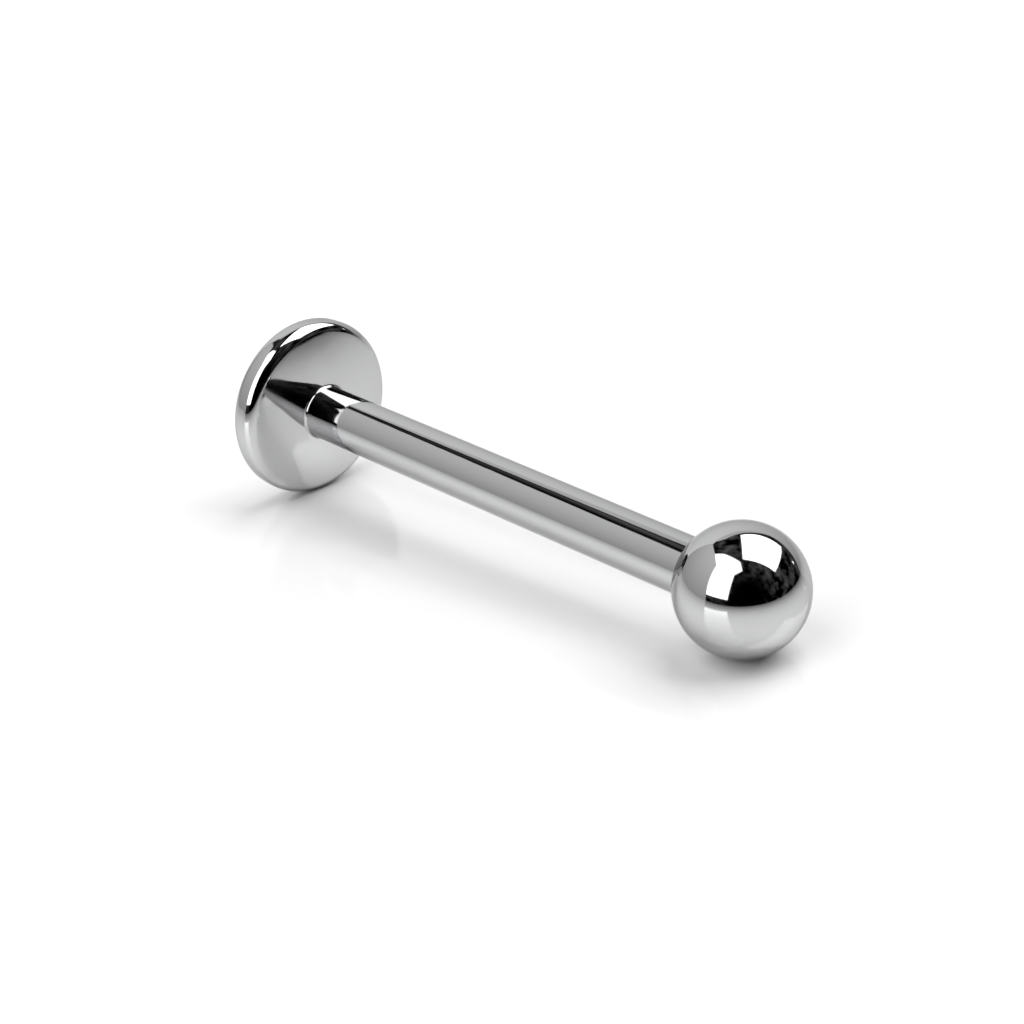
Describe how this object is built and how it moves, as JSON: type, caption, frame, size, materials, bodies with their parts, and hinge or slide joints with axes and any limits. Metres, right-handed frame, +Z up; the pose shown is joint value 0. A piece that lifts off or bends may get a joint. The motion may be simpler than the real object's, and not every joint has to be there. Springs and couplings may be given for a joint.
{
  "type": "labret stud",
  "caption": "Labret stud: a round disc on a straight mirror-polished steel post, closed by a ball that screws on to the post's threaded end.",
  "frame": {"origin": "centre of the resting stud's outline seen from above, on the surface that it rests on", "axes": "+X along the post from the disc to the ball, +Z up from the surface, +Y across"},
  "size_m": [0.0146, 0.004, 0.004],
  "materials": {
    "polished_steel": "mirror-polished surgical steel"
  },
  "bodies": {
    "stud": {"stud": "polished_steel"},
    "ball": {"ball": "polished_steel"}
  },
  "joints": [
    {"name": "ball_unscrew", "type": "slide", "parent": "stud", "child": "ball", "axis": [0.9987, 0, -0.0518], "range_m": [0, 0.0022]}
  ]
}
